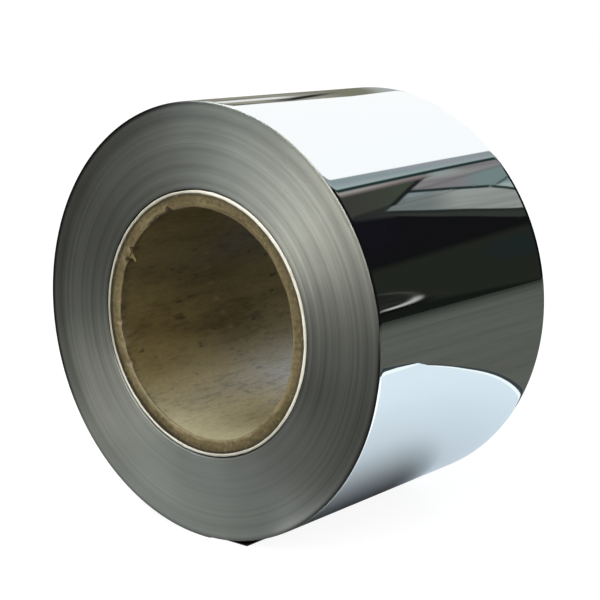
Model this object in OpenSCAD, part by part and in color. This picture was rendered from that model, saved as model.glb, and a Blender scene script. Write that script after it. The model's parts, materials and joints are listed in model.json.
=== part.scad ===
// Coil of mirror-finished steel strip, wound on a paper tube with a white paper sleeve.
// It lies on its side on z = 0, with its axis along Y and y = 0 at the middle of the strip.

/* [Strip] */
// Width of the strip, which is the length of the coil
strip_w = 187; // [60:1:400]
// Rounding of the outer turn's two edges
edge_r = 1; // [0.3:0.1:2]

/* [Coil] */
// Outside diameter of the wound steel
coil_d = 288; // [240:1:420]
// Bands of turns that show on each end
band_count = 26; // [8:1:40]
// How far the deepest band stands back from the flush ones
band_wander = 0.6; // [0.1:0.1:1.5]
// Width of the slack groove between two bands
groove_w = 0.4; // [0.1:0.05:0.6]
// Depth of that groove below the deeper of its two bands
groove_depth = 0.5; // [0.1:0.1:1.5]

/* [Core] */
// Bore of the paper tube
bore_d = 152.4; // [70:0.1:170]
// Wall of the paper tube
tube_wall = 8.7; // [4:0.1:15]
// Worn bevel at each end of the tube's bore
tube_bevel = 1.2; // [0.3:0.1:2]
// White paper sleeve between the tube and the first turn
sleeve_t = 2.2; // [0.8:0.1:4]
// Slack between the tube, the sleeve and the first turn
wound_gap = 0.1; // [0.05:0.05:0.3]

/* [Hidden] */
$fn = 180;

half_w = strip_w / 2;
coil_r = coil_d / 2;
bore_r = bore_d / 2;
tube_r = bore_r + tube_wall;
sleeve_in_r = tube_r + wound_gap;
sleeve_r = sleeve_in_r + sleeve_t;
first_turn_r = sleeve_r + wound_gap;
band_w = (coil_r - edge_r - first_turn_r) / band_count;

// Bands differ in width, each edge lying up to this share of a band from its even place
edge_shift = 0.22;
// A groove takes at most this share of a band
groove_share = 0.4;
half_groove = min(groove_w, groove_share * band_w) / 2;

// Each end of the coil wanders in its own way, set by a phase in degrees
front_phase = 20;
back_phase = 200;
// Steps in degrees between one band and the next, for the coarse and the fine wander
coarse_step = 53;
fine_step = 137;
coarse_share = 0.4;
fine_share = 0.6;

steel_grey = [0.62, 0.63, 0.63];
kraft_brown = [0.55, 0.46, 0.32];
paper_white = [0.93, 0.92, 0.87];

// Height of a band's face above mid-width. About half of the bands are flush.
function band_height(band, phase) =
    let (wave = fine_share * sin(fine_step * band + phase)
              + coarse_share * sin(coarse_step * band + 2 * phase))
    half_w - band_wander * max(0, wave);

// Radius at which a band begins. The grooves of both ends lie between the same turns.
function band_start(band) =
    let (shift = band == band_count ? 0 : edge_shift * sin(fine_step * band))
    first_turn_r + (band + shift) * band_w;

// One band's face and the groove that follows it, as [radius, height above mid-width]
function band_corners(band, phase) =
    let (
        height = band_height(band, phase),
        next_height = band_height(band + 1, phase),
        start = band_start(band) + (band == 0 ? 0 : half_groove),
        end = band_start(band + 1)
    )
    band == band_count - 1
        ? [[start, height], [end, height]]
        : [
            [start, height],
            [end - half_groove, height],
            [end, min(height, next_height) - groove_depth],
        ];

// One end's profile, from the first turn outwards
function end_corners(phase) = [
    for (band = [0 : band_count - 1]) each band_corners(band, phase)
];

// Arc over the outer turn's rounded edge, from the end face to the outer wall
function edge_arc() = [
    for (turn = [0 : 15 : 90])
        [coil_r - edge_r + edge_r * sin(turn), half_w - edge_r + edge_r * cos(turn)]
];

function mirrored(points) = [for (i = [len(points) - 1 : -1 : 0]) [points[i][0], -points[i][1]]];

// Turns an upright shape onto its side, at its height above the floor
module lying() {
    translate([0, 0, coil_r]) rotate([90, 0, 0]) children();
}

// Wound strip as one turned solid, with its turns as grooved bands on both ends
module steel_coil() {
    front = concat(end_corners(front_phase), edge_arc());
    back = concat(end_corners(back_phase), edge_arc());
    color(steel_grey)
        lying()
            rotate_extrude() polygon(concat(front, mirrored(back)));
}

module paper_tube() {
    color(kraft_brown)
        lying()
            rotate_extrude()
                polygon([
                    [tube_r, half_w],
                    [tube_r, -half_w],
                    [bore_r + tube_bevel, -half_w],
                    [bore_r, tube_bevel - half_w],
                    [bore_r, half_w - tube_bevel],
                    [bore_r + tube_bevel, half_w],
                ]);
}

module paper_sleeve() {
    color(paper_white)
        lying()
            rotate_extrude()
                translate([sleeve_in_r, -half_w]) square([sleeve_t, strip_w]);
}

steel_coil();
paper_tube();
paper_sleeve();
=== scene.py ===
import json
import math
import bpy
import numpy as np
from mathutils import Matrix, Vector


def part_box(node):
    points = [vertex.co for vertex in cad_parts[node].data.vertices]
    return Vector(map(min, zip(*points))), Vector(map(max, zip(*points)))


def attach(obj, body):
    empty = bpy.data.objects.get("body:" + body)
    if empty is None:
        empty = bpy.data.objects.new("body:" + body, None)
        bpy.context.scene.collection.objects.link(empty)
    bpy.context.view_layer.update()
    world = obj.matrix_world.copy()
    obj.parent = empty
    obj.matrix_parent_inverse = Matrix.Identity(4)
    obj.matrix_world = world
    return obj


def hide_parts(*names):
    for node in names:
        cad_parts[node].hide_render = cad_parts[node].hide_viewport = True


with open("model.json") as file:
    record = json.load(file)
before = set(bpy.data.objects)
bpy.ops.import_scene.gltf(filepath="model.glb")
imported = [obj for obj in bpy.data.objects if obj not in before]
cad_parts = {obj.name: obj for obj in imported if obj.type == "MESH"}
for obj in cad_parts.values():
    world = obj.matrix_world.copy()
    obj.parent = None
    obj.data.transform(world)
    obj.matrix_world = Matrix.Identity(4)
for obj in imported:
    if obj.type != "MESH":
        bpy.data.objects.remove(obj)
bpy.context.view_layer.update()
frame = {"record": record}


def readSizes():
    # Sizes that come from the frame, so that every piece stays where its CAD node is
    low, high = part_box("steel_coil")
    tubeLow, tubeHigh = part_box("paper_tube")
    sleeveLow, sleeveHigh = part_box("paper_sleeve")
    bore = next(m for m in frame["record"]["mounts"] if m["name"] == "core_bore")
    return {
        "radius": (high[0] - low[0]) / 2 - 0.00005,  # kept just inside the CAD box
        "half": (high[1] - low[1]) / 2,
        "height": bore["pos_m"][2],  # of the coil's axis above the floor
        "bore": bore["dims"]["r_mm"] / 1000,
        "tube": (tubeHigh[0] - tubeLow[0]) / 2,
        "sleeve": (sleeveHigh[0] - sleeveLow[0]) / 2,
    }


size = readSizes()
tau = 2 * math.pi


# Mesh tools

def polar(radius, angle, along):
    # Points at a radius and an angle round the coil's axis, and a place along it.
    # The angle starts at +X and turns towards +Z.
    radius, angle, along = np.broadcast_arrays(radius, angle, along)
    x = radius * np.cos(angle)
    z = size["height"] + radius * np.sin(angle)
    return np.stack([x, along, z], axis=-1)


def makePiece(name, points, faces, corners=None, marks=None):
    # Mesh object from points and a list of face arrays, each (m, k).
    # corners gives the UV of every face corner, and marks the named values of every point.
    mesh = bpy.data.meshes.new(name)
    rows = [row for block in faces for row in np.asarray(block).tolist()]
    mesh.from_pydata(np.asarray(points, dtype=float).reshape(-1, 3).tolist(), [], rows)
    mesh.polygons.foreach_set("use_smooth", np.ones(len(rows), dtype=bool))
    if corners is not None:
        layer = mesh.uv_layers.new(name="turnMap")
        layer.uv.foreach_set("vector", np.concatenate([c.reshape(-1, 2) for c in corners]).ravel())
    for key, values in (marks or {}).items():
        mesh.attributes.new(key, "FLOAT", "POINT").data.foreach_set("value", np.ravel(values))
    mesh.update()
    piece = bpy.data.objects.new(name, mesh)
    bpy.context.scene.collection.objects.link(piece)
    return piece


def gridFaces(rows, columns, closeRows=False, closeColumns=False):
    # Quads of a grid of points stored row by row, and their corners as (column, row) shares
    r = np.arange(rows if closeRows else rows - 1)
    c = np.arange(columns if closeColumns else columns - 1)
    r, c = np.meshgrid(r, c, indexing="ij")
    nextR, nextC = (r + 1) % rows, (c + 1) % columns
    quads = np.stack(
        [r * columns + c, nextR * columns + c, nextR * columns + nextC, r * columns + nextC], axis=-1
    ).reshape(-1, 4)
    u = np.stack([c, c, c + 1, c + 1], axis=-1) / len(c[0])
    v = np.stack([r, r + 1, r + 1, r], axis=-1) / len(r)
    return quads, np.stack([u, v], axis=-1).reshape(-1, 4, 2)


def raggedLine(angle, seed, lowest, highest, fall):
    # Sum of cosine waves round the circle, from lowest to highest waves a turn.
    # Their size falls with the wave count by the power fall, and the sum has a spread of 1.
    dice = np.random.default_rng(seed)
    waves = np.arange(lowest, highest + 1)
    share = waves ** -float(fall) * dice.uniform(0.4, 1.0, len(waves))
    phase = dice.uniform(0, tau, len(waves))
    total = (share[:, None] * np.cos(waves[:, None] * np.ravel(angle) + phase[:, None])).sum(axis=0)
    return (total / math.sqrt((share ** 2).sum() / 2)).reshape(np.shape(angle))


def hill(angle, middle, width):
    # Smooth hill of height 1 round the circle, with its top at middle and its width in radians
    away = (angle - middle + math.pi) % tau - math.pi
    return np.exp(-(away / width) ** 2)


# Wound strip: the turns below the outer one

coil = {
    "turns": 92,            # turns below the outer one
    "segments": 160,        # steps round a turn
    "firstTurn": 0.0001,    # slack outside the sleeve
    "tailAngle": 272,       # where the strip ends, in degrees from +X towards +Z
    "gapDepth": 0.00004,    # of the line between two turns
    "gapShare": 0.2,        # of a turn's thickness, taken by each side of that line
    "bands": 80,
    "bandDepth": 0.000015,  # of the deepest band below flush
    "bandTurns": (1.5, 6.0),
    "bandJoin": 0.35,       # turns over which one band passes into the next
    "drift": 0.00004,       # slow rise and fall over driftTurns turns
    "driftTurns": 17,
    "jitter": 0.000005,     # between one turn and the next
    "startDepth": 0.0004,   # how far the first turn stands back beside the sleeve
    "startTurns": 1.1,      # and over how many turns that fades
    "rimRound": 0.001,
}
coil["inner"] = size["sleeve"] + coil["firstTurn"]
coil["pitch"] = (size["radius"] - coil["inner"]) / (coil["turns"] + 2)


def edgeDepth(along, seed):
    # How far the strip's edge lies below flush at each place along it, counted in turns.
    # Bands of a few turns stand at their own depths, with straight joins between them,
    # and a slow drift, a small jitter from turn to turn and the first turn's set-back are added.
    dice = np.random.default_rng(seed)
    widths = dice.uniform(*coil["bandTurns"], coil["bands"])
    starts = np.cumsum(widths) - widths[0]
    depths = coil["bandDepth"] * dice.random(coil["bands"]) ** 1.8  # most of them near flush
    knots = np.column_stack([starts, starts + widths - coil["bandJoin"]]).ravel()
    depth = np.interp(along, knots, np.repeat(depths, 2))
    drift = 1 + np.sin(tau * along / coil["driftTurns"] + dice.uniform(0, tau))
    turns = np.arange(coil["turns"] + 4)
    jitter = np.interp(along, turns, dice.random(len(turns)))
    start = coil["startDepth"] * np.exp(-(along / coil["startTurns"]) ** 2)
    return depth + coil["drift"] * drift / 2 + coil["jitter"] * jitter + start


def bandTones(along, side):
    # Tone of each turn's edge, from 0 to 1: a fine wave of about 4 turns and a broad one of about
    # 11 turns, each with its length swaying, so that the bands differ in width
    fine = np.sin(along * 1.7 + 2 * np.sin(along * 0.61) + side)
    broad = np.sin(along * 0.57 + 1.6 * np.sin(along * 0.21 + side) + 2 * side)
    return 0.5 + 0.20 * fine + 0.24 * broad


def rimFall(radius):
    # Quarter round over the outermost turns: how far the edge falls towards the rim
    into = np.clip(radius - (size["radius"] - coil["rimRound"]), 0, coil["rimRound"])
    return coil["rimRound"] - np.sqrt(coil["rimRound"] ** 2 - into ** 2)


def woundTurns():
    # One spiral strip seen from both ends: its radius grows by one pitch a turn, and its edge lies
    # half the width from the middle, less its depth. Row 0 is the line between a turn and the one
    # inside it, and rows 1 and 2 are the flat of the turn's edge. A point one turn further along
    # row 0 is also the outer side of the turn below it, so the whole end is one closed surface.
    segments, turns = coil["segments"], coil["turns"]
    steps = segments * turns
    shares = (0.0, coil["gapShare"], 1 - coil["gapShare"])
    rows, tones, starts, total = [], [], [], 0
    for side, seed in ((-1, 5), (1, 23)):
        ends = []
        for share in shares:
            count = steps + segments + 1 if share == 0 else steps + 1
            along = np.arange(count) / segments
            angle = math.radians(coil["tailAngle"]) + tau * along
            radius = coil["inner"] + coil["pitch"] * (along + share)
            depth = edgeDepth(along, seed)
            if share == 0:
                before = edgeDepth(np.maximum(along - 1, 0), seed)
                depth = np.maximum(depth, before) + coil["gapDepth"]
            depth = depth + rimFall(radius)
            rows.append(polar(radius, angle, side * (size["half"] - depth)))
            tones.append(bandTones(along, side))
            ends.append(total)
            total += count
        starts.append(ends)

    step = np.arange(steps)
    ringed = np.arange(segments)
    blocks, corners = [], []
    for front, (line, low, high) in ((True, starts[0]), (False, starts[1])):
        for first, second in ((line, low), (low, high), (high, line + segments)):
            quad = np.stack([first + step, second + step, second + step + 1, first + step + 1], axis=-1)
            v = np.stack([step, step, step + 1, step + 1], axis=-1) / segments
            u = np.zeros_like(v) + [0.0, 1.0, 1.0, 0.0]
            uv = np.stack([u, v], axis=-1)
            blocks.append(quad if front else quad[:, ::-1])
            corners.append(uv if front else uv[:, ::-1])
    near, far = starts
    outside, inside = near[0] + steps + ringed, near[0] + ringed
    farOutside, farInside = far[0] + steps + ringed, far[0] + ringed
    blocks.append(np.stack([outside, farOutside, farOutside + 1, outside + 1], axis=-1))
    blocks.append(np.stack([inside, inside + 1, farInside + 1, farInside], axis=-1))
    last = steps + segments
    blocks.append([[
        near[0] + steps, near[1] + steps, near[2] + steps, near[0] + last,
        far[0] + last, far[2] + steps, far[1] + steps, far[0] + steps,
    ]])
    blocks.append([[
        near[0] + segments, near[2], near[1], near[0],
        far[0], far[1], far[2], far[0] + segments,
    ]])
    corners += [np.zeros((len(block), len(block[0]), 2)) for block in blocks[len(corners):]]
    return makePiece(
        "woundTurns", np.concatenate(rows), blocks, corners, {"bandTone": np.concatenate(tones)}
    )


# The outer turn, whose wall is the mirror

outer = {
    "segments": 360,
    "wallRows": 46,
    "corner": 0.0003,     # rounding of the strip's slit edges
    "edgeRows": 3,        # of faces beside each end of the wall, finished as slit edges
    "edgeBack": 0.00026,  # how far its edges stand back from the CAD box
    "edgeFall": 0.00001,  # how much thinner it is right at the edges
    "edgeReach": 0.0035,
    "rollFall": 0.00009,  # and how far the last millimetre rolls down on top of that
    "rollReach": 0.0016,
    "waves": 0.000010,    # height of the slow waves in the wall
}


def outerTurn():
    # A thin closed strip, one turn long. Its section is a loop: the front edge, the outer wall
    # from front to back, the back edge, and the inner side. The wall stands at the coil's radius,
    # less a fall near both edges and slow waves round and along it.
    turned = np.arange(outer["segments"] + 1) / outer["segments"]
    angle = math.radians(coil["tailAngle"]) + tau * turned
    under = coil["inner"] + coil["pitch"] * (coil["turns"] + turned)
    half = size["half"] - outer["edgeBack"]
    c = outer["corner"]
    # Rows lie close together where the wall rolls down, and evenly from 10 mm in
    near = np.array([0.0, 0.0003, 0.0006, 0.0009, 0.0013, 0.0018, 0.0026, 0.0038, 0.0055])
    wall = np.concatenate([
        -half + c + near,
        np.linspace(-half + 0.010, half - 0.010, outer["wallRows"]),
        (half - c - near)[::-1],
    ])
    # Section as (share of the thickness, fixed fall below the top, place along the axis)
    edges = [(0.0, 0, half), (0.35, 0, half)]
    edges += [(1.0, 0.55 * c, half - 0.05 * c), (1.0, 0.16 * c, half - 0.4 * c)]
    section = [(share, drop, -y) for share, drop, y in edges]
    section += [(1.0, 0, y) for y in wall]
    section = np.array(section + edges[::-1])
    along = section[:, 2][:, None]
    edge = half - np.abs(along)
    fall = outer["edgeFall"] * np.exp(-edge / outer["edgeReach"])
    fall = fall + outer["rollFall"] * np.exp(-(edge / outer["rollReach"]) ** 2)
    wave = (
        np.sin(3 * angle[None, :] + 31 * along + 0.7)
        + 0.7 * np.sin(5 * angle[None, :] - 47 * along + 2.1)
        + 0.5 * np.sin(2 * angle[None, :] + 83 * along)
    )
    top = (section[:, 0] >= 1)[:, None]
    radius = under[None, :] + coil["pitch"] * section[:, 0][:, None] - section[:, 1][:, None]
    radius = radius - top * (fall + outer["waves"] * (2.2 + wave))
    points = polar(radius, angle[None, :], along)
    rows, columns = radius.shape
    quads, corners = gridFaces(rows, columns, closeRows=True)
    quads, corners = quads[:, ::-1], corners[:, ::-1, ::-1]
    first = (np.arange(rows) * columns)[None, :]
    final = first[:, ::-1] + columns - 1
    caps = [np.zeros((1, rows, 2))] * 2
    piece = makePiece("outerTurn", points, [quads, first, final], [corners] + caps)
    row = np.arange(rows - 1).repeat(outer["segments"])
    onEdge = (row < outer["edgeRows"]) | (row >= rows - 1 - outer["edgeRows"])
    slots = np.zeros(len(piece.data.polygons), dtype=int)
    slots[:len(row)] = onEdge
    piece.data.polygons.foreach_set("material_index", slots)
    return piece


# Paper tube

tube = {
    "segments": 448,
    "faceRows": 28,                 # across an end, two to a ply
    "boreRows": 54,
    "plyDepth": 0.00016,
    "bevel": 0.0011,
    "ragged": 0.00075,              # unevenness of the bore's worn edge
    "tear": 0.0021,                 # how far the worst tears reach into the wall
    "tearDepth": 0.0034,
    # middle and width in degrees, and strength
    "tears": (
        (152.8, 1.7, 1.25), (146.4, 1.6, 1.2), (138, 5, 0.4), (127, 2.4, 0.8), (120.5, 4.4, 1.1),
        (112.5, 3.6, 1.1), (96, 6, 0.2), (165, 1.3, 0.35), (175, 1.1, 0.3), (186, 1.5, 0.4),
        (197, 1.2, 0.3), (208, 1.6, 0.4), (40, 9, 0.35), (21, 6, 0.3), (-20, 9, 0.45), (-62, 7, 0.2),
    ),
    "edgeLimits": (0.0002, 0.004),  # of how far the worn edge stands back into the wall
    "intoLimits": (0.0009, 0.006),  # and of how far it reaches into the bore
    "dent": 0.00012,
    "seam": 0.00010,                # height of the inner ply's seam
    "seamRise": 0.034,              # how far it runs along the axis a radian
    "seamWidth": 0.018,             # in radians
    "bareReach": (0.0008, 0.0048),  # how far bare ply shows inside the bore: all round, and at bareSide
    "bareSide": (178, 34),          # middle and width in degrees
}


def tearShare(angle, atBack):
    # Hills where the bore's edge is torn, each at its angle, width and strength.
    # The back end has the same tears at other angles.
    total = np.zeros_like(angle)
    for middle, width, strength in tube["tears"]:
        turned = 200 - 1.3 * middle if atBack else middle
        total = total + strength * hill(angle, math.radians(turned), math.radians(width))
    return total


def tubeEnd(angle, side, seed):
    # Rows of one end, from the outer wall inwards and over the worn edge into the bore.
    # The face sinks by each ply's own depth, and the edge is a quarter round that bites into the
    # wall by a ragged line and the tears. Returns radius, distance from the flush end, marks that
    # are 1 on raw paper and in a tear's painted shade, and how far the worn edge reaches into the bore.
    dice = np.random.default_rng(seed)
    rough = raggedLine(angle, seed + 1, 9, 150, 0.55)
    slow = raggedLine(angle, seed + 2, 2, 14, 0.8)
    torn = tearShare(angle, side > 0)
    bite = tube["ragged"] * (0.5 * rough + 0.7 * slow)
    bite = bite + tube["tear"] * torn * (0.55 + 0.45 * np.abs(rough))
    edge = size["bore"] + np.clip(tube["bevel"] * 0.75 + bite, *tube["edgeLimits"])
    across = np.linspace(0, 1, tube["faceRows"])[:, None]
    radius = size["tube"] + (edge[None, :] - size["tube"]) * across
    plies = dice.random(tube["faceRows"])[:, None] ** 1.5
    plies[0] = 0.35
    swell = 0.6 + 0.4 * raggedLine(angle, seed + 3, 1, 6, 0.5)[None, :]
    deep = tube["plyDepth"] * plies * np.clip(swell, 0.1, 1.6)
    deep = deep + 0.0006 * across ** 10 + 0.0002 * torn[None, :] * across ** 2
    into = tube["bevel"] * (1 + 0.25 * slow) + tube["tearDepth"] * torn * (0.5 + 0.5 * np.abs(rough))
    into = np.clip(into, *tube["intoLimits"])
    over = np.array([0.25, 0.55, 0.8, 1.0])[:, None]
    rollRadius = edge[None, :] + (size["bore"] - edge[None, :]) * np.sin(over * math.pi / 2) ** 0.8
    rollDeep = deep[-1:] + (into[None, :] - deep[-1:]) * over ** 1.2
    radius = np.concatenate([radius, rollRadius])
    deep = np.concatenate([deep, rollDeep])
    torn = torn[None, :]
    mark = np.concatenate([across ** 6 * (0.3 + torn), np.ones_like(over) * (0.5 + torn)])
    # painted shade in the hollow of each tear, carried a little way into the bore
    dark = np.concatenate([np.clip(across - 0.93, 0, 1) * 10 * torn, (1.2 - 0.3 * over) * torn])
    return radius, deep, np.clip(mark, 0, 1), np.clip(dark, 0, 1), into


def paperTube():
    # Closed turned shell: the front end, the bore, the back end and the outer wall. The bore's
    # radius is that of the mount, plus shallow dents, which are three waves round and along it,
    # and the spiral seam of its inner ply, a narrow hill.
    angle = np.arange(tube["segments"]) / tube["segments"] * tau
    half = size["half"]
    frontRadius, frontDeep, frontTorn, frontTearShade, frontInto = tubeEnd(angle, -1, 40)
    backRadius, backDeep, backTorn, backTearShade, backInto = tubeEnd(angle, 1, 60)
    share = (1 - np.cos(np.linspace(0, math.pi, tube["boreRows"] + 2)[1:-1])) / 2
    share = share[:, None]
    along = (-half + frontInto)[None, :] * (1 - share) + (half - backInto)[None, :] * share
    turn = angle[None, :]
    dent = (
        np.sin(3 * turn + 40 * along + 1) + np.sin(5 * turn - 60 * along) + np.sin(2 * turn + 95 * along + 2)
    )
    helix = np.mod(turn - along / tube["seamRise"], tau)  # angle past the seam
    seam = np.exp(-((helix - math.pi) / tube["seamWidth"]) ** 2)
    ends = np.clip(np.minimum(share, 1 - share) * 12, 0, 1)
    boreRadius = size["bore"] + ends * (tube["dent"] * (dent + 3) / 6 + tube["seam"] * seam)
    middle, width = map(math.radians, tube["bareSide"])
    allRound, more = tube["bareReach"]
    limit = allRound + more * hill(angle, middle, width)
    limit = limit * np.clip(1 + 0.35 * raggedLine(angle, 77, 20, 120, 0.5), 0.2, 2)
    bare = np.clip(1.5 - (along + half - frontInto[None, :]) / limit[None, :], 0, 1)
    radius = np.concatenate([frontRadius, boreRadius, backRadius[::-1]])
    along = np.concatenate([-half + frontDeep, along, half - backDeep[::-1]])
    fade = np.exp(-np.minimum(share, 1 - share) * 40)
    # painted tear shade, fading into the bore
    tearShadeInBore = fade * (frontTearShade[-1:] + backTearShade[-1:]) * 0.5
    marks = {
        "torn": np.concatenate([frontTorn, 0.5 * seam, backTorn[::-1]]),
        "bite": np.concatenate([frontTearShade, tearShadeInBore, backTearShade[::-1]]),
        "cutFace": np.concatenate([np.ones_like(frontDeep), bare, np.ones_like(backDeep)]),
    }
    points = polar(radius, turn, along)
    quads, corners = gridFaces(*radius.shape, closeRows=True, closeColumns=True)
    return makePiece("paperTube", points, [quads], [corners], marks)


# Torn scraps of the inner ply, at the front of the bore

scraps = {
    "thick": 0.00016,
    "steps": 9,        # along a scrap
    "sides": 12,       # round its section
    "rooted": 0.0013,  # how far outside the bore it starts
    # angle in degrees, length and width in metres, and how far each is turned out of the bore
    "list": (
        (149.6, 0.0078, 0.0046, 0.85),
        (131.0, 0.0015, 0.0020, 0.2),
        (120.5, 0.0017, 0.0024, 0.2),
        (108.5, 0.0018, 0.0026, 0.2),
        (96.0, 0.0014, 0.0009, 0.4),
        (-18.0, 0.0022, 0.0012, 0.5),
    ),
}


def tornPly():
    # Each scrap is a flat oval section carried along a short curling path from the bore's edge
    # towards the axis. It narrows to a ragged tip.
    points, faces, total = [], [], 0
    dice = np.random.default_rng(9)
    steps, sides = scraps["steps"], scraps["sides"]
    rounds = np.arange(sides) / sides * tau
    share = np.linspace(0, 1, steps)[:, None]
    quads, _ = gridFaces(steps, sides, closeColumns=True)
    cap = np.arange(sides)
    for turned, length, width, lift in scraps["list"]:
        curl = lift * 1.6 * share
        inward = length * np.sin(curl * 0.8 + 0.2) * share
        deep = 0.0006 + length * 0.7 * share * np.cos(curl)
        radius = size["bore"] + scraps["rooted"] - inward
        middle = math.radians(turned) + (dice.random() - 0.5) * 0.05 * share
        taper = width / 2 * (1 - 0.8 * share ** 2) * (1 + 0.25 * np.sin(9 * share + turned))
        wide = taper * np.cos(rounds)[None, :]
        thick = scraps["thick"] * (1 - 0.5 * share) * np.sin(rounds)[None, :]
        along = np.maximum(deep, 0.0004) - size["half"]
        points.append(polar(radius + thick, middle + wide / size["bore"], along).reshape(-1, 3))
        tip = total + (steps - 1) * sides
        faces += [quads[:, ::-1] + total, (cap + total)[None, :], (cap[::-1] + tip)[None, :]]
        total += steps * sides
    return makePiece("tornPly", np.concatenate(points), faces)


# White paper sleeve

sleeve = {
    "segments": 448,
    "uneven": 0.00022,  # of its inner and outer outlines on the ends
    "dish": 0.00012,
    "slack": 0.0001,    # outside the tube
    "collar": 0.0016,   # length of its outer and inner walls that is modelled at each end
}


def paperSleeve():
    # Closed ring whose section is a rounded band on each end. Its outlines wander a little.
    angle = np.arange(sleeve["segments"]) / sleeve["segments"] * tau
    half = size["half"]
    rows = []
    for side, seed in ((-1, 71), (1, 83)):
        wanderIn = sleeve["uneven"] * np.clip(raggedLine(angle, seed, 3, 60, 0.7) * 0.5 + 0.6, 0, 2.2)
        wanderOut = sleeve["uneven"] * np.clip(raggedLine(angle, seed + 1, 3, 60, 0.7) * 0.5 + 0.5, 0, 2.2)
        inside, outside = size["tube"] + sleeve["slack"] + wanderIn, size["sleeve"] - wanderOut
        low = sleeve["dish"] * (0.5 + 0.5 * np.clip(raggedLine(angle, seed + 2, 2, 30, 0.6), -1, 1))
        wall, shoulder, top = sleeve["collar"] + 0 * low, 0.00025 + low, 0.00004 + 0.5 * low
        face = [
            (outside, wall), (outside, shoulder), (outside - 0.0002, top), ((inside + outside) / 2, low),
            (inside + 0.0002, top), (inside, shoulder), (inside, wall),
        ]
        rows.append([(r, side * (half - deep)) for r, deep in face])
    loop = rows[0] + rows[1][::-1]
    radius = np.stack([r for r, _ in loop])
    along = np.stack([y for _, y in loop])
    points = polar(radius, angle[None, :], along)
    quads, corners = gridFaces(len(loop), sleeve["segments"], closeRows=True, closeColumns=True)
    return makePiece("paperSleeve", points, [quads], [corners])


# Node tools. All but put find their node tree from the sockets that they are given.

def isSocket(value):
    return isinstance(value, bpy.types.NodeSocket)


def treeOf(*values):
    return next(value.id_data for value in values if isSocket(value))


def put(tree, kind, inputs=None, **settings):
    # Adds a node, sets what it is told, and links or fills its inputs
    node = tree.nodes.new(kind)
    for key, value in settings.items():
        setattr(node, key, value)
    for key, value in (inputs or {}).items():
        if isSocket(value):
            tree.links.new(value, node.inputs[key])
        else:
            node.inputs[key].default_value = value
    return node


def calc(operation, *values, clamp=False):
    inputs = dict(enumerate(values))
    return put(treeOf(*values), "ShaderNodeMath", inputs, operation=operation, use_clamp=clamp).outputs[0]


def plus(first, second):
    return calc("ADD", first, second)


def minus(first, second):
    return calc("SUBTRACT", first, second)


def less(mask):
    return minus(1.0, mask)


def apart(first, second):
    return calc("ABSOLUTE", minus(first, second))


def square(value):
    return calc("POWER", value, 2.0)


def times(first, *others):
    for other in others:
        first = calc("MULTIPLY", first, other)
    return first


def scaled(value, factor, shift, clamp=False):
    # The value times the factor, plus the shift
    return calc("MULTIPLY_ADD", value, factor, shift, clamp=clamp)


def blend(share, low, high, mode="MIX"):
    # Colour between low and high, by a share from 0 to 1
    low, high = (color if isSocket(color) else (*color, 1.0) for color in (low, high))
    inputs = {0: share, 6: low, 7: high}
    settings = {"data_type": "RGBA", "blend_type": mode, "clamp_factor": True}
    return put(treeOf(share, low, high), "ShaderNodeMix", inputs, **settings).outputs[2]


def layered(color, *layers):
    # Lays further colours over a first one, each given as its masks and then the colour
    for *masks, over in layers:
        color = blend(times(*masks), color, over)
    return color


def remap(value, low, high, toLow=0.0, toHigh=1.0, kind="SMOOTHSTEP"):
    # Soft step from toLow to toHigh while the value goes from low to high, and flat beyond them
    inputs = {"Value": value, "From Min": low, "From Max": high, "To Min": toLow, "To Max": toHigh}
    return put(treeOf(value), "ShaderNodeMapRange", inputs, interpolation_type=kind).outputs["Result"]


def combine(x, y, z):
    return put(treeOf(x, y, z), "ShaderNodeCombineXYZ", {0: x, 1: y, 2: z}).outputs[0]


def noise(vector, scale, detail=2.0, roughness=0.5):
    inputs = {"Vector": vector, "Scale": scale, "Detail": detail, "Roughness": roughness}
    return put(treeOf(vector), "ShaderNodeTexNoise", inputs).outputs["Fac"]


def newGroup(name, inputs, outputs, build):
    # Group of nodes with float sockets. Build makes its nodes and returns its outputs in their order.
    group = bpy.data.node_groups.new(name, "ShaderNodeTree")
    for label, value in inputs.items():
        group.interface.new_socket(label, in_out="INPUT", socket_type="NodeSocketFloat").default_value = value
    for label in outputs:
        group.interface.new_socket(label, in_out="OUTPUT", socket_type="NodeSocketFloat")
    given = group.nodes.new("NodeGroupInput").outputs
    result = group.nodes.new("NodeGroupOutput").inputs
    for label, value in zip(outputs, build(group, given)):
        group.links.new(value, result[label])
    return group


def useGroup(tree, group, **inputs):
    return put(tree, "ShaderNodeGroup", inputs, node_tree=group).outputs


def newMaterial(name, kind="ShaderNodeBsdfPrincipled"):
    # Material of one shader, its node tree and the shader's inputs
    material = bpy.data.materials.new(name)
    material.use_nodes = True
    tree = material.node_tree
    tree.nodes.clear()
    shader = tree.nodes.new(kind)
    tree.links.new(shader.outputs[0], tree.nodes.new("ShaderNodeOutputMaterial").inputs["Surface"])
    return material, tree, shader.inputs


def surface(shader, color, roughness, height, strength, distance):
    # Links a finish to its shader, with a fine bump from a height
    tree = treeOf(color)
    bump = put(tree, "ShaderNodeBump", {"Strength": strength, "Distance": distance, "Height": height})
    for key, value in (("Base Color", color), ("Roughness", roughness), ("Normal", bump.outputs[0])):
        tree.links.new(value, shader[key])


def objectPlace(tree):
    # Object coordinates, whole and by axis
    place = put(tree, "ShaderNodeTexCoord").outputs["Object"]
    return place, put(tree, "ShaderNodeSeparateXYZ", {0: place}).outputs


def aroundAxis(tree):
    # Cosine and sine of the angle round the coil's axis, the radius, and the place along the axis
    _, parts = objectPlace(tree)
    up = minus(parts["Z"], size["height"])
    radius = calc("SQRT", plus(square(parts["X"]), square(up)))
    return calc("DIVIDE", parts["X"], radius), calc("DIVIDE", up, radius), radius, parts["Y"]


def toward(cosine, sine, degrees):
    # How far a direction round the axis points towards an angle, from -1 to 1
    side = math.radians(degrees)
    return scaled(sine, math.sin(side), times(cosine, math.cos(side)))


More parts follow.
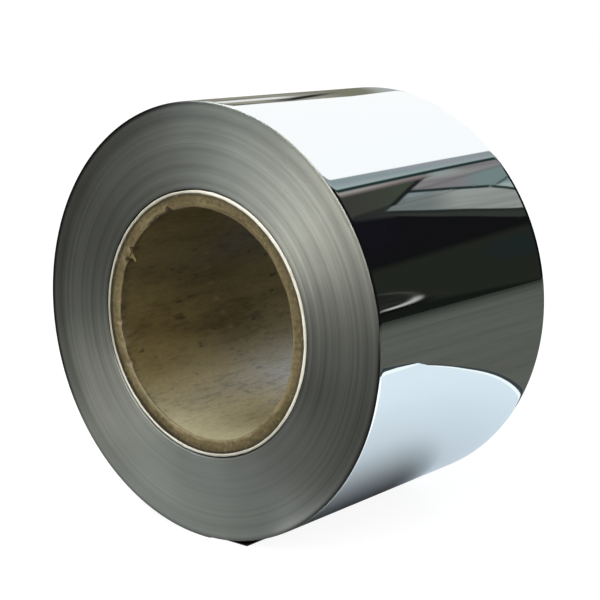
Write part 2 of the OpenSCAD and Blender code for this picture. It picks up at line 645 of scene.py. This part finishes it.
def windingLines(group, given):
    # Fine lines that run round the coil, slow blotches and stray scratches, for the strip's wall
    # and its edges. Across is the place across the lines in metres, Lines how many a metre, and
    # Around how fast they change round the coil.
    cosine, sine, _, _ = aroundAxis(group)

    def field(around, lines, detail, roughness):
        vector = combine(times(cosine, around), times(given["Across"], lines), times(sine, around))
        return noise(vector, 1.0, detail, roughness)

    streaks = field(given["Around"], given["Lines"], 4.0, 0.65)
    blotches = field(3.0, 22.0, 3.0, 0.55)
    scratches = remap(field(26.0, 190.0, 1.0, 0.4), 0.72, 0.78)
    return streaks, blotches, scratches


def paperMarks(group, given):
    # Fibres, stains and dark dashes for both papers. Stretch is how long the marks run along the axis.
    cosine, sine, radius, along = aroundAxis(group)
    reach = times(radius, given["Fineness"])
    run = calc("DIVIDE", times(along, given["Fineness"]), given["Stretch"])
    vector = combine(times(cosine, reach), run, times(sine, reach))
    dashes = remap(noise(vector, 210.0, 2.0, 0.45), 0.64, 0.74)
    return noise(vector, 900.0, 5.0, 0.7), noise(vector, 55.0, 4.0, 0.6), dashes


windingGrain = newGroup(
    "windingGrain", {"Across": 0.0, "Lines": 900.0, "Around": 1.5},
    ("Streaks", "Blotches", "Scratches"), windingLines,
)
paperGrain = newGroup(
    "paperGrain", {"Fineness": 1.0, "Stretch": 1.0}, ("Fibres", "Stains", "Dashes"), paperMarks
)


# Finishes

steelLook = {
    "bright": (0.94, 0.97, 0.985),
    "dull": (0.91, 0.945, 0.965),
    "lines": 1400.0,  # rolling lines a metre
    "roughness": 0.016,
    "smudge": 0.03,   # how much rougher a foggy blotch is
    "scratch": 0.08,  # and a scratch
}


def mirrorSteel():
    material, tree, shader = newMaterial("mirrorSteel")
    along = aroundAxis(tree)[3]
    grain = useGroup(tree, windingGrain, Across=along, Lines=steelLook["lines"], Around=1.2)
    color = blend(grain["Streaks"], steelLook["dull"], steelLook["bright"])
    rough = plus(times(remap(grain["Blotches"], 0.5, 0.75), steelLook["smudge"]), steelLook["roughness"])
    rough = plus(rough, times(grain["Scratches"], steelLook["scratch"]))
    shader["Metallic"].default_value = 1.0
    surface(shader, color, rough, grain["Streaks"], 0.03, 0.00001)
    return material


edgeLook = {
    "bright": (0.655, 0.675, 0.648),
    "dull": (0.395, 0.415, 0.394),
    "lines": 1150.0,                # fine rings a metre
    "roughness": (0.455, 0.49),
    "anisotropy": 0.6,
    "dark": (0.075, 0.075, 0.07),   # painted shade: the dark line in the gap beside the sleeve
    "startShade": (0.0012, 0.0004),  # where it ends and where it is full, out from the first turn
    "rimShade": (0.012, 0.012, 0.012),   # painted shade: a black line round the rim
    "rimShadeWidth": (0.0035, 0.0009),   # its width, and how much wider it is on its widest side
    "rimShadeSide": 155,                 # where it is widest, in degrees
    "secondRimShadeSide": -25,             # where there is some more of it
    "litRimSide": 45,                  # and where it fades out, on the lit side of the rim
    "outerDark": (0.122, 0.138),        # radii between which the outer turns grow darker
    "outerDarkShare": (0.13, 0.34),     # how much of the rim shade's tone they take, away from its widest side and on it
    "polish": (0.92, 0.95, 0.94),   # painted light: lighter inner turns on one side
    "litInnerSide": 300,
    "litInnerReach": (0.128, 0.096),  # radii between which that painted light comes in
    "polishShare": 0.36,
}


def slitEdges():
    look = edgeLook
    material, tree, shader = newMaterial("slitEdges")
    cosine, sine, radius, _ = aroundAxis(tree)
    grain = useGroup(tree, windingGrain, Across=radius, Lines=look["lines"], Around=0.9)
    band = put(tree, "ShaderNodeAttribute", attribute_name="bandTone").outputs["Fac"]
    uneven = scaled(grain["Streaks"], 0.95, scaled(band, 0.5, -0.725))
    contrast = scaled(calc("POWER", cosine, 4.0), 1.1, 0.65)  # turns show most at the sides
    color = blend(scaled(uneven, contrast, 0.5), look["dull"], look["bright"])
    toRimShade, toSecondRimShade, toLitRim, toLitInner = (
        toward(cosine, sine, look[key]) for key in ("rimShadeSide", "secondRimShadeSide", "litRimSide", "litInnerSide")
    )
    narrow, more = look["rimShadeWidth"]
    width = remap(toRimShade, 0.3, 0.85, narrow, narrow + more)
    amount = scaled(remap(toSecondRimShade, 0.7, 0.9), 0.55, remap(toRimShade, 0.4, 0.72, 0.4, 1.0))
    amount = times(amount, remap(toLitRim, 0.66, 0.82, 1.0, 0.15))
    # painted shade: a black line round the rim, widest on the shaded side and faded where the rim is lit
    rimShade = remap(calc("DIVIDE", minus(size["radius"], radius), width), 1.0, 0.2)
    rimShade = calc("MULTIPLY", rimShade, amount, clamp=True)
    # the outer turns darker, more so towards the rim shade's widest side
    outerDark = times(remap(radius, *look["outerDark"]), remap(toRimShade, 0.2, 0.8, *look["outerDarkShare"]))
    # painted light: the inner turns lighter towards 300 degrees
    polish = times(remap(radius, *look["litInnerReach"]), remap(toLitInner, 0.7, 0.97))
    # painted shade of the gap between the sleeve and the first turn
    startShade = remap(radius, *(coil["inner"] + reach for reach in look["startShade"]))
    color = layered(
        color,
        (outerDark, look["rimShade"]),
        (polish, look["polishShare"], look["polish"]),
        (startShade, look["dark"]),
        (rimShade, look["rimShade"]),
    )
    shader["Metallic"].default_value = 1.0
    shader["Anisotropic"].default_value = look["anisotropy"]
    tangent = put(tree, "ShaderNodeTangent", direction_type="UV_MAP", uv_map="turnMap")
    tree.links.new(tangent.outputs[0], shader["Tangent"])
    rough = remap(grain["Blotches"], 0.3, 0.7, *look["roughness"])
    surface(shader, color, rough, grain["Streaks"], 0.35, 0.00004)
    return material


kraftLook = {
    "cut": (0.225, 0.176, 0.09),
    "cutDark": (0.108, 0.084, 0.04),
    "plyPitch": 0.00062,             # of the fine rings on the cut ends
    "outerPlies": (0.0052, 0.0026),  # where the plies darken, in from the tube's outer wall
    "cutGapShade": (0.045, 0.036, 0.02),  # painted shade of the gap beside the sleeve
    "gapShadeReach": (0.0021, 0.0009),    # where that painted shade fades and where it is full, in from that wall
    "gapShadeMore": 0.0013,               # how much wider that painted shade is on its widest side
    "gapShadeSide": 200,                  # where that painted shade is widest, in degrees
    "bore": (0.37, 0.296, 0.126),
    "boreDark": (0.225, 0.17, 0.066),
    "litBottom": (0.38, 0.34, 0.225),   # painted light: lighter low down near the front
    "darkened": (0.53, 0.51, 0.48),    # painted shade: how much darker the bore is away from its bottom
    "paintedSheen": (0.4, 0.42, 0.43),      # painted sheen: a painted reflection of light from the far opening, deep in the lower part
    "torn": (0.43, 0.35, 0.2),
    "soil": (0.035, 0.028, 0.015),
    "speck": (0.135, 0.103, 0.045),
    # painted shade in the torn hollows of the bore's edge
    "bite": (0.05, 0.03, 0.016),
    "fibre": (0.02, 0.015, 0.008),
}


def kraftBoard():
    look, half, wall = kraftLook, size["half"], size["tube"]
    material, tree, shader = newMaterial("kraftBoard")
    cosine, upward, radius, along = aroundAxis(tree)
    fine, broad, mottled = (
        useGroup(tree, paperGrain, Fineness=fineness, Stretch=stretch)
        for fineness, stretch in ((1.0, 3.0), (0.55, 5.0), (7.0, 5.0))
    )
    cut, bite, torn = (
        put(tree, "ShaderNodeAttribute", attribute_name=name).outputs["Fac"]
        for name in ("cutFace", "bite", "torn")
    )
    # cut ends
    ply = plus(times(calc("SINE", times(radius, tau / look["plyPitch"])), 0.18), fine["Stains"])
    toGapShadeSide = toward(cosine, upward, look["gapShadeSide"])
    reach = plus(radius, remap(toGapShadeSide, 0.3, 0.8, 0.0, look["gapShadeMore"]))
    # painted shade of the gap beside the sleeve, on the outer rim of the cut end
    rim = remap(reach, *(wall - depth for depth in look["gapShadeReach"]))
    outerPlies = remap(radius, *(wall - depth for depth in look["outerPlies"]))
    cutColor = layered(
        look["cutDark"],
        (remap(ply, 0.25, 0.75), look["cut"]),
        (outerPlies, 0.55, look["cutDark"]),
        (rim, remap(toGapShadeSide, -0.5, 0.3, 0.6, 1.0), look["cutGapShade"]),
        (remap(mottled["Stains"], 0.5, 0.66, 0.0, 0.55), look["soil"]),
        (remap(mottled["Stains"], 0.44, 0.3, 0.0, 0.28), look["torn"]),
    )
    # bore
    # painted light on the bottom of the bore near the front, where lamplight falls in
    litBottom = times(remap(along, 0.3 * half, -half), remap(upward, -0.55, -0.98))
    # painted sheen: greyer deep in the lower part, a painted reflection of light from the far opening
    deep = times(remap(along, -0.3 * half, 0.6 * half), remap(upward, -0.5, -0.9))
    patches = remap(broad["Stains"], 0.62, 0.38, 0.25, 0.85)
    specks = times(remap(mottled["Stains"], 0.46, 0.66), patches, scaled(litBottom, -0.55, 0.92))
    # painted shade: the bore darker away from its bottom, most on the sides, less towards the back
    darkened = times(remap(upward, -0.95, -0.5), remap(upward, 0.2, 0.85, 1.0, 0.25))
    darkened = times(darkened, remap(along, 0.0, 0.8 * half, 1.0, 0.3))
    boreColor = layered(
        look["boreDark"],
        (remap(broad["Stains"], 0.3, 0.68), look["bore"]),
        (fine["Dashes"], 0.7, look["soil"]),
        (litBottom, 0.85, look["litBottom"]),
        (deep, 0.5, look["paintedSheen"]),
        (specks, look["speck"]),
    )
    boreColor = blend(darkened, boreColor, look["darkened"], "MULTIPLY")
    # torn lays lighter raw paper, and bite lays painted shade in the torn hollows
    color = layered(
        boreColor, (cut, cutColor), (torn, 0.55, look["torn"]), (bite, 0.9, look["bite"])
    )
    color = blend(remap(fine["Fibres"], 0.35, 0.7), blend(0.22, color, look["fibre"]), color)
    surface(shader, color, remap(fine["Stains"], 0.3, 0.7, 0.38, 0.58), fine["Fibres"], 0.5, 0.00012)
    return material


paperLook = {
    "clean": (0.72, 0.7, 0.64),
    "worn": (0.54, 0.5, 0.39),
    "fibre": (0.98, 0.97, 0.93),
    "darkened": (0.58, 0.57, 0.54),  # how much darker it is on two of its sides
    "darkenedSides": (148, 298),     # in degrees
}


def whitePaper():
    material, tree, shader = newMaterial("whitePaper")
    grain = useGroup(tree, paperGrain, Fineness=1.3, Stretch=1.0)
    cosine, sine, _, _ = aroundAxis(tree)
    # darker towards two sides
    first, second = (toward(cosine, sine, side) for side in paperLook["darkenedSides"])
    darkened = calc("MAXIMUM", remap(first, 0.35, 0.75), remap(second, 0.78, 0.95, 0.0, 0.8))
    color = blend(remap(grain["Stains"], 0.5, 0.78), paperLook["clean"], paperLook["worn"])
    color = blend(times(grain["Fibres"], 0.25), color, paperLook["fibre"])
    color = blend(darkened, color, paperLook["darkened"], "MULTIPLY")
    surface(shader, color, remap(grain["Fibres"], 0.3, 0.7, 0.7, 0.9), grain["Fibres"], 0.4, 0.00008)
    return material


# Studio

studio = {
    "cardRadius": 2.5,                  # of the round reflection card about the coil
    "cardHalf": 5.0,
    "warmLamp": {"place": (0.214, -0.68, 0.605), "size": 0.6, "power": 6.6, "color": (1.0, 0.975, 0.87)},
    "coolLamp": {"place": (-0.05, -1.1, 1.5), "size": 0.7, "power": 1.8, "color": (0.93, 1.0, 0.97)},
    "sideLamp": {"place": (-0.715, -0.4, 1.5), "size": 0.6, "power": 17.0, "color": (0.9, 1.0, 0.985)},
    "backLamp": {"place": (-0.15, 1.25, 0.66), "size": 0.4, "power": 4.5, "color": (0.7, 0.84, 1.0)},
    "ambientLow": 0.05,                 # light of the room from the horizon down
    "ambientHigh": 0.38,                # and from overhead
    "floorReach": 6.0,
    "floorColor": 0.18,
    "floorLift": 0.92,  # what the floor adds for the eye, so that it is pale but keeps its shadow
    "floorTint": (0.55, 0.646, 0.716),  # of the floor in the mirror
    "openReach": 0.14,                  # how far from the floor a thing still dims it in the mirror
    "contactShadow": (-0.006, 0.0338),           # painted contact shadow: from where to where the floor is dark under the coil
    "contactShadowShort": 0.0047,                # and how far that painted shadow ends short of the coil's ends
}


def whiteRays(tree):
    # 1 for the rays that should find the white background: camera, gloss and clear rays
    rays = put(tree, "ShaderNodeLightPath").outputs
    seen = plus(rays["Is Camera Ray"], rays["Is Glossy Ray"])
    return calc("ADD", seen, rays["Is Transmission Ray"], clamp=True)


def stageCard(name, points, faces, material, hidden=True):
    card = makePiece(name, points, faces)
    card.data.materials.append(material)
    if hidden:  # a card that only gloss sees, as a flag beside a product on a photo table
        for rays in ("camera", "diffuse", "shadow", "volume_scatter"):
            setattr(card, "visible_" + rays, False)
    return card


def floorMaterial():
    # Pale paper. Its glow whitens it for the eye. For gloss it is tinted where it is open to the
    # room, with painted shade close to the coil, and white beyond a slanting line in front.
    material, tree, shader = newMaterial("floorPaper")
    shader["Roughness"].default_value = 0.9
    shader["Specular IOR Level"].default_value = 0.0
    place, parts = objectPlace(tree)
    inputs = {"Distance": studio["openReach"]}
    openness = calc("POWER", put(tree, "ShaderNodeAmbientOcclusion", inputs, samples=8).outputs["AO"], 0.48)
    # painted shade of the coil on the floor, as the mirror sees it
    near = times(remap(parts["X"], 0.159, 0.055), remap(parts["Y"], 0.104, 0.04))
    inMirror = blend(times(openness, less(times(near, 0.9))), (0.005, 0.005, 0.006), studio["floorTint"])
    inMirror = blend(remap(minus(parts["X"], parts["Y"]), 0.158, 0.174), inMirror, (1.0, 1.0, 1.0))
    away = put(tree, "ShaderNodeVectorMath", {0: place}, operation="LENGTH").outputs["Value"]
    pale = blend(remap(away, 0.3, 2.2), [studio["floorLift"]] * 3, (1, 1, 1))
    # painted contact shadow: a black patch on the floor under the coil, in its base colour and its glow
    left, right = studio["contactShadow"]
    wide, long = (right - left) / 2, size["half"] - studio["contactShadowShort"]
    sideways = remap(apart(parts["X"], (left + right) / 2), wide - 0.0008, wide + 0.0008)
    endways = remap(calc("ABSOLUTE", parts["Y"]), long - 0.0006, long + 0.0006)
    # clear is 0 inside the painted contact shadow
    clear = calc("MAXIMUM", sideways, endways)
    base = blend(clear, (0.02, 0.02, 0.02), [studio["floorColor"]] * 3)
    gloss = put(tree, "ShaderNodeLightPath").outputs["Is Glossy Ray"]
    tree.links.new(base, shader["Base Color"])
    tree.links.new(blend(gloss, blend(clear, (0, 0, 0), pale), inMirror), shader["Emission Color"])
    tree.links.new(whiteRays(tree), shader["Emission Strength"])
    return material


def makeFloor():
    reach = studio["floorReach"]
    points = [(-reach, -reach, 0), (reach, -reach, 0), (reach, reach, 0), (-reach, reach, 0)]
    return stageCard("floor", points, [[[0, 1, 2, 3]]], floorMaterial(), hidden=False)


def glowing(name, color=(1, 1, 1)):
    # Material that only glows, its node tree and the socket of its colour
    material, tree, shader = newMaterial(name, "ShaderNodeEmission")
    shader["Color"].default_value = (*color, 1.0)
    return material, tree, shader["Color"]


darkMat = {
    "height": 0.0006,
    "reach": 4.9,
    # opening in the dark mat, where the pale floor shows
    "opening": (
        (-0.36, -0.135), (0.372, -0.135), (0.372, 0.264), (0.36, 0.281), (0.33, 0.2595),
        (0.26, 0.237), (0.19, 0.2215), (0.06, 0.196), (-0.36, 0.196),
    ),
    # way in which each of its corners moves when it grows
    "ways": ((-1, -1), (1, -1), (1, 0.3), (0.3, 1), (0.2, 1), (0, 1), (0, 1), (0, 1), (-1, 1)),
    # painted highlight along the opening's rim, and painted shadow along the border outside it
    "rim": (0.022, 0.0052),
    "rimHighlightColor": (0.93, 1.0, 1.0),
    "border": (0.032, 0.006),
    "borderShadowColor": (0.04, 0.052, 0.059),
    "weave": ((0.079, 0.085, 0.073), (0.117, 0.122, 0.106)),
    "speckle": (0.112, 0.114, 0.095),
    "far": (0.033, 0.039, 0.033),
    "front": (0.054, 0.054, 0.051),
}


def grownLoop(reach, sign=1):
    # The opening's outline moved outwards, or inwards with a sign of -1, by a distance along each axis
    return np.array(darkMat["opening"]) + np.array(darkMat["ways"]) * reach * sign


def ringCard(name, inside, outside, material):
    # Flat ring between two outlines of as many corners
    flat = np.concatenate([inside, outside])
    points = np.column_stack([flat, np.full(len(flat), darkMat["height"])])
    quads, _ = gridFaces(2, len(inside), closeColumns=True)
    return stageCard(name, points, [quads], material)


def groundCards():
    # Glowing cards that only gloss sees, a painted reflection of the ground: a dark mat round the pale
    # opening, with a painted highlight along its rim and a painted shadow along its border
    material, tree, color = glowing("darkMat")
    place, parts = objectPlace(tree)
    stretched = put(tree, "ShaderNodeMapping", {"Vector": place, "Scale": (9.0, 1.3, 1.0)}).outputs[0]
    speckle = remap(noise(place, 60.0, 3.0, 0.7), 0.35, 0.65)
    dark, light = darkMat["weave"]
    tree.links.new(layered(
        dark,
        (remap(noise(stretched, 1.0, 6.0, 0.72), 0.3, 0.7), light),
        (speckle, 0.35, darkMat["speckle"]),
        (remap(parts["X"], 0.7, 2.3), darkMat["far"]),
        (remap(parts["Y"], 0.0, -0.3), darkMat["front"]),
    ), color)
    reach = darkMat["reach"]
    outside = [(x, reach) for x in (reach, 0.33, 0.26, 0.19, 0.06, -reach)]
    outside = [(-reach, -reach), (reach, -reach), (reach, 0.5)] + outside
    opening, grown = darkMat["opening"], grownLoop(darkMat["border"])
    ringCard("matRimHighlight", grownLoop(darkMat["rim"], -1), opening, glowing("matRimHighlight", darkMat["rimHighlightColor"])[0])
    ringCard("matBorderShadow", opening, grown, glowing("matBorderShadow", darkMat["borderShadowColor"])[0])
    ringCard("darkMat", grown, outside, material)


def cardMaterial():
    # What the mirror-bright strip shows: a pale upper part, and lines, stripes and dark fields
    # below it. It is drawn by the angle about the coil's axis, in degrees from +X towards +Z,
    # and by the share of the way from the front edge of the reflection to its back edge.
    material, tree, color = glowing("reflectionCard")
    _, place = objectPlace(tree)
    angle = times(calc("ARCTAN2", minus(place["Z"], size["height"]), place["X"]), 180 / math.pi)
    share = remap(place["Y"], 2.87, 3.84, kind="LINEAR")

    def height(start, end, bend=0.0):
        # Angle above the line through two (share, angle) points, which rises by bend at mid-width
        slope = (end[1] - start[1]) / (end[0] - start[0])
        line = scaled(share, slope, start[1] - slope * start[0])
        if bend:
            line = scaled(times(share, less(share)), 4 * bend, line)
        return minus(angle, line)

    def above(start, end, soft=0.4, bend=0.0):
        # 1 above such a line, and 0 below it
        return scaled(height(start, end, bend), 1 / soft, 0.5, clamp=True)

    def mark(start, end, width, soft=0.5, bend=0.0):
        # 1 on such a line
        away = calc("ABSOLUTE", height(start, end, bend))
        return scaled(minus(width / 2, away), 1 / soft, 0.5, clamp=True)

    def spot(middle, reach):
        # 1 in the middle of a soft oval
        across = scaled(share, 1 / reach[0], -middle[0] / reach[0])
        upward = scaled(angle, 1 / reach[1], -middle[1] / reach[1])
        return remap(plus(square(across), square(upward)), 1.0, 0.0)

    def rightOf(start, soft=0.02):
        return scaled(share, 1 / soft, 0.5 - start / soft, clamp=True)

    def grain(seed, angleScale, alongScale, detail=2.0):
        vector = combine(times(angle, angleScale), times(place["Y"], alongScale), seed)
        return noise(vector, 1.0, detail, 0.5)

    fan = remap(grain(1.0, 0.35, 1.0), 0.3, 0.7)
    heel, tip = (0.262, 56.7), (0.465, 69.6)  # of the slanting edge of the dark field on the left
    right = less(above(heel, tip, 1.0))
    # dark lower part, up to a dim ledge
    ledge = blend(remap(share, 0.05, 0.35), (0.025, 0.026, 0.026), (0.036, 0.041, 0.035))
    shade = layered(
        (0.0085, 0.0105, 0.008),
        (above((0, 3.8), (1, -2.5), 2.0), (0.018, 0.0208, 0.0158)),
        (spot((0.92, 20.0), (0.3, 9.0)), 0.5, (0.012, 0.022, 0.026)),
        (above((0, 23.3), (1, 30.2), 3.5), (0.0072, 0.0072, 0.0078)),
        (spot((0.12, 44.0), (0.22, 16.0)), 0.6, (0.0075, 0.0072, 0.0125)),
        (above((0.257, 49.9), (1.0, 35.6), 0.8), rightOf(0.22, 0.1), ledge),
        (above((0.0, 51.2), (0.257, 49.9), 2.0), less(rightOf(0.257, 0.04)), ledge),
    )
    # grey fields to the right of the slanting edge
    lowLeft = blend(fan, (0.165, 0.19, 0.182), (0.195, 0.225, 0.215))
    low = layered(
        blend(fan, (0.27, 0.295, 0.27), (0.345, 0.37, 0.34)),
        (remap(share, 0.66, 0.44), lowLeft),
        (spot((0.4, 60.6), (0.15, 2.4)), 0.7, (0.26, 0.31, 0.32)),
        (mark((0.27, 55.9), (0.64, 58.6), 0.5, 0.9), 0.6, (0.12, 0.135, 0.14)),
        (mark((0.3, 57.4), (0.52, 60.6), 0.3, 0.8), 0.45, (0.12, 0.135, 0.15)),
        (mark((0.2, 54.6), (0.8, 49.6), 0.4, 1.0), 0.25, (0.15, 0.16, 0.155)),
    )
    middle = layered(
        (0.235, 0.218, 0.228),
        (remap(share, 0.62, 0.86), (0.195, 0.265, 0.26)),
        (spot((0.99, 56.0), (0.16, 3.4)), 0.9, (0.39, 0.47, 0.45)),
        (mark((0.89, 57.4), (0.99, 61.2), 1.2, 1.0), rightOf(0.9, 0.04), (0.06, 0.085, 0.085)),
    )
    upper = layered(
        (0.215, 0.204, 0.208),
        (fan, (0.295, 0.288, 0.284)),
        (spot((0.56, 70.5), (0.2, 3.0)), 0.6, (0.33, 0.4, 0.38)),
    )
    # a thin line falls from the slanting edge to the right, and bends down near the back
    fore, bend, back = (0.398, 62.7), (0.85, 57.9), (1.0, 53.6)
    bent, past = rightOf(0.865, 0.03), rightOf(0.865, 0.02)
    thirdLine = times(mark(fore, bend, 1.7, 0.8, -0.5), less(bent))
    thirdLine = calc("MAXIMUM", thirdLine, times(mark(bend, back, 1.8, 0.8), bent))
    overThird = times(above(fore, bend, 0.5, -0.5), less(past))
    overThird = calc("ADD", overThird, times(above(bend, back, 0.5), past), clamp=True)
    # dark field and pinkish field on the left, with a black stroke along the slanting edge
    field = blend(remap(share, 0.05, 0.4), (0.05, 0.05, 0.044), (0.056, 0.07, 0.048))
    stroke = times(mark(heel, tip, 2.6, 1.2), above((0.2, 55.8), (0.5, 56.4), 0.8))
    stroke = times(stroke, less(above((0, 66.0), (0.465, 69.4), 0.8)))
    pinkish = layered(
        (0.335, 0.315, 0.3),
        (remap(share, 0.05, 0.42), (0.26, 0.235, 0.225)),
        (mark((0.0, 65.7), (0.465, 69.1), 1.5, 1.2), 0.8, (0.09, 0.066, 0.064)),
    )
    secondLine = ((0.0, 69.3), (1.0, 75.2))
    strip = layered(
        (0.27, 0.35, 0.35),
        (fan, (0.33, 0.35, 0.38)),
        (remap(height((0, 73.3), (1, 78.2)), 0.6, -2.5), (0.37, 0.45, 0.45)),
    )
    shade = layered(
        shade,
        (above((0.191, 53.8), (1, 40.9), 0.5), right, low),
        (mark((0.191, 53.2), (1, 40.3), 1.7, 0.8), rightOf(0.2, 0.08), (0.022, 0.027, 0.026)),
        (overThird, right, middle),
        (above((0.5, 64.2), (1.0, 70.4), 2.5), right, upper),
        (mark((0.5, 63.8), (1.0, 70.0), 0.8, 2.2), right, 0.6, (0.12, 0.118, 0.12)),
        (thirdLine, right, (0.02, 0.034, 0.034)),
        (above((0.05, 53.8), (0.262, 57.0), 1.2), less(right), field),
        (stroke, (0.014, 0.014, 0.016)),
        (above((0.0, 65.3), (0.465, 68.8), 0.6), less(rightOf(0.5, 0.08)), pinkish),
        (above(*secondLine, 0.4, 0.3), strip),
        (mark(*secondLine, 1.9, 0.8, 0.3), (0.018, 0.036, 0.036)),
    )
    # bright curved line low down near the front edge: part of an oval that sinks towards the back
    across = calc("DIVIDE", share, 0.262)
    upward = calc("DIVIDE", minus(angle, scaled(square(share), -20.0, 7.0)), 4.4)
    oval = calc("SQRT", plus(square(across), square(upward)))
    thin = scaled(apart(oval, 1.0), -8.5, 1.3, clamp=True)
    lower = times(remap(upward, 0.25, -0.35, 0.05, 0.75), remap(across, 0.1, 0.5, 0.3, 0.8))
    behind = calc("GREATER_THAN", place["Y"], 2.0)
    underside = times(mark((0.05, 1.0), (0.3, 2.6), 1.3, 1.0), less(rightOf(0.34, 0.08)), 0.8)
    shade = layered(
        shade,
        (remap(oval, 1.05, 0.9), blend(grain(5.0, 0.5, 3.0), (0.006, 0.007, 0.006), (0.03, 0.032, 0.028))),
        (underside, (0.004, 0.004, 0.004)),
        (thin, lower, behind, (0.84, 0.86, 0.83)),
    )
    # pale upper part
    paleTop = blend(above((0, 84.0), (1, 120.0), 50.0), (0.99, 1.0, 1.0), (1.0, 1.0, 1.0))
    shade = blend(1.0, shade, (0.9, 0.89, 0.885), "MULTIPLY")
    shade = blend(above((0, 76.8), (1, 81.1), 0.7), shade, paleTop)
    # streaks along the far edge, at the top of the strip
    along = remap(place["Y"], 2.6, 3.5, kind="LINEAR")
    over = minus(angle, scaled(calc("MAXIMUM", minus(place["Y"], 3.2), 0.0), 14.0, 150.3))
    rise = scaled(calc("MAXIMUM", minus(place["Y"], 2.9), 0.0), 32.0, 4.0)
    light = times(remap(apart(over, 9.6), 4.4, 1.0), remap(along, 0.42, 0.25))
    black = times(remap(apart(over, rise), 4.4, 1.2), remap(apart(along, 0.41), 0.3, 0.03))
    streak = layered(
        (0.13, 0.125, 0.09),
        (remap(grain(3.0, 0.3, 1.6, 3.0), 0.35, 0.65), (0.36, 0.35, 0.3)),
        (remap(along, 0.55, 0.7), (0.2, 0.2, 0.145)),
        (light, (0.8, 0.8, 0.78)),
        (black, (0.018, 0.018, 0.02)),
        (remap(along, 0.76, 0.9), (0.38, 0.41, 0.39)),
    )
    # beyond both ends of the used part it is dark low down, so the wall's two edges show a dark line
    beyond = plus(remap(place["Y"], 2.74, 2.6), remap(place["Y"], 3.96, 4.1))
    # towards the front the card is plain: dark low down and pale above
    plain = blend(remap(place["Z"], 0.9, 1.8), (0.04, 0.041, 0.038), (0.24, 0.255, 0.26))
    shade = layered(
        shade,
        (scaled(over, 1.2, 0.5, clamp=True), streak),
        (beyond, less(above((0, 69.0), (1, 71.0), 2.0)), (0.006, 0.006, 0.006)),
        (remap(place["Y"], -1.2, -2.2), plain),
    )
    tree.links.new(shade, color)
    return material


def reflectionCard():
    # Round card about the coil's axis, closed by a flat disc at each end
    around, along = 128, 40
    angle = (np.arange(around) / around * tau)[None, :]
    place = np.linspace(-studio["cardHalf"], studio["cardHalf"], along)[:, None]
    points = polar(studio["cardRadius"], angle, place)
    quads, _ = gridFaces(along, around, closeColumns=True)
    near = np.arange(around)[None, ::-1]
    far = (np.arange(around) + (along - 1) * around)[None, :]
    return stageCard("reflectionCard", points, [quads, near, far], cardMaterial())


def makeWorld():
    # White for the eye and for gloss. As light it is dim at the horizon and brighter overhead.
    world = bpy.data.worlds.new("studio")
    bpy.context.scene.world = world
    world.use_nodes = True
    tree = world.node_tree
    tree.nodes.clear()
    direction = put(tree, "ShaderNodeTexCoord").outputs["Generated"]
    rising = put(tree, "ShaderNodeSeparateXYZ", {0: direction}).outputs["Z"]
    low, high = studio["ambientLow"], studio["ambientHigh"]
    ambient = blend(remap(rising, 0.0, 0.8), (low, low, low), (high, high, high * 1.03))
    color = blend(whiteRays(tree), ambient, (1, 1, 1))
    back = put(tree, "ShaderNodeBackground", {"Color": color, "Strength": 1.0})
    tree.links.new(back.outputs[0], tree.nodes.new("ShaderNodeOutputWorld").inputs["Surface"])


def makeLamp(name):
    values = studio[name]
    data = bpy.data.lights.new(name, "AREA")
    data.shape = "SQUARE"
    data.size = values["size"]
    data.energy = values["power"]
    data.color = values["color"]
    lamp = bpy.data.objects.new(name, data)
    bpy.context.scene.collection.objects.link(lamp)
    lamp.location = values["place"]
    aim = Vector((0, math.copysign(size["half"], lamp.location.y), size["height"])) - lamp.location
    lamp.rotation_euler = aim.to_track_quat("-Z", "Y").to_euler()
    lamp.visible_camera = False


# Camera, from the outlines of the coil's two ends in the photograph

shot = {
    "place": (0.65851713, -0.79092553, 0.35316595),
    "looks": (-0.62429171, 0.75582170, -0.19746749),
    "lens": 91.0824,
}


def makeCamera():
    data = bpy.data.cameras.new("camera")
    data.sensor_width = 36
    data.lens = shot["lens"]
    camera = bpy.data.objects.new("camera", data)
    bpy.context.scene.collection.objects.link(camera)
    ahead = Vector(shot["looks"]).normalized()
    right = ahead.cross(Vector((0, 0, 1))).normalized()
    upward = right.cross(ahead)
    turn = Matrix((right, upward, -ahead)).transposed()
    camera.matrix_world = Matrix.Translation(shot["place"]) @ turn.to_4x4()
    bpy.context.scene.camera = camera


makeCamera()
makeWorld()
for lampName in ("warmLamp", "coolLamp", "sideLamp", "backLamp"):
    makeLamp(lampName)
makeFloor()
groundCards()
reflectionCard()
print("studio and camera made")

finishes = {"mirror": mirrorSteel(), "edges": slitEdges(), "kraft": kraftBoard(), "paper": whitePaper()}
print("finishes made")


def fit(piece, names, node=None):
    for name in names.split():
        piece.data.materials.append(finishes[name])
    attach(piece, "root")
    if node:
        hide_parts(node)
    print(piece.name, len(piece.data.polygons), "faces")


fit(woundTurns(), "edges", "steel_coil")
fit(outerTurn(), "mirror edges", "steel_coil")
fit(paperTube(), "kraft", "paper_tube")
fit(tornPly(), "kraft")
fit(paperSleeve(), "paper", "paper_sleeve")

bpy.context.scene.view_settings.view_transform = "Standard"
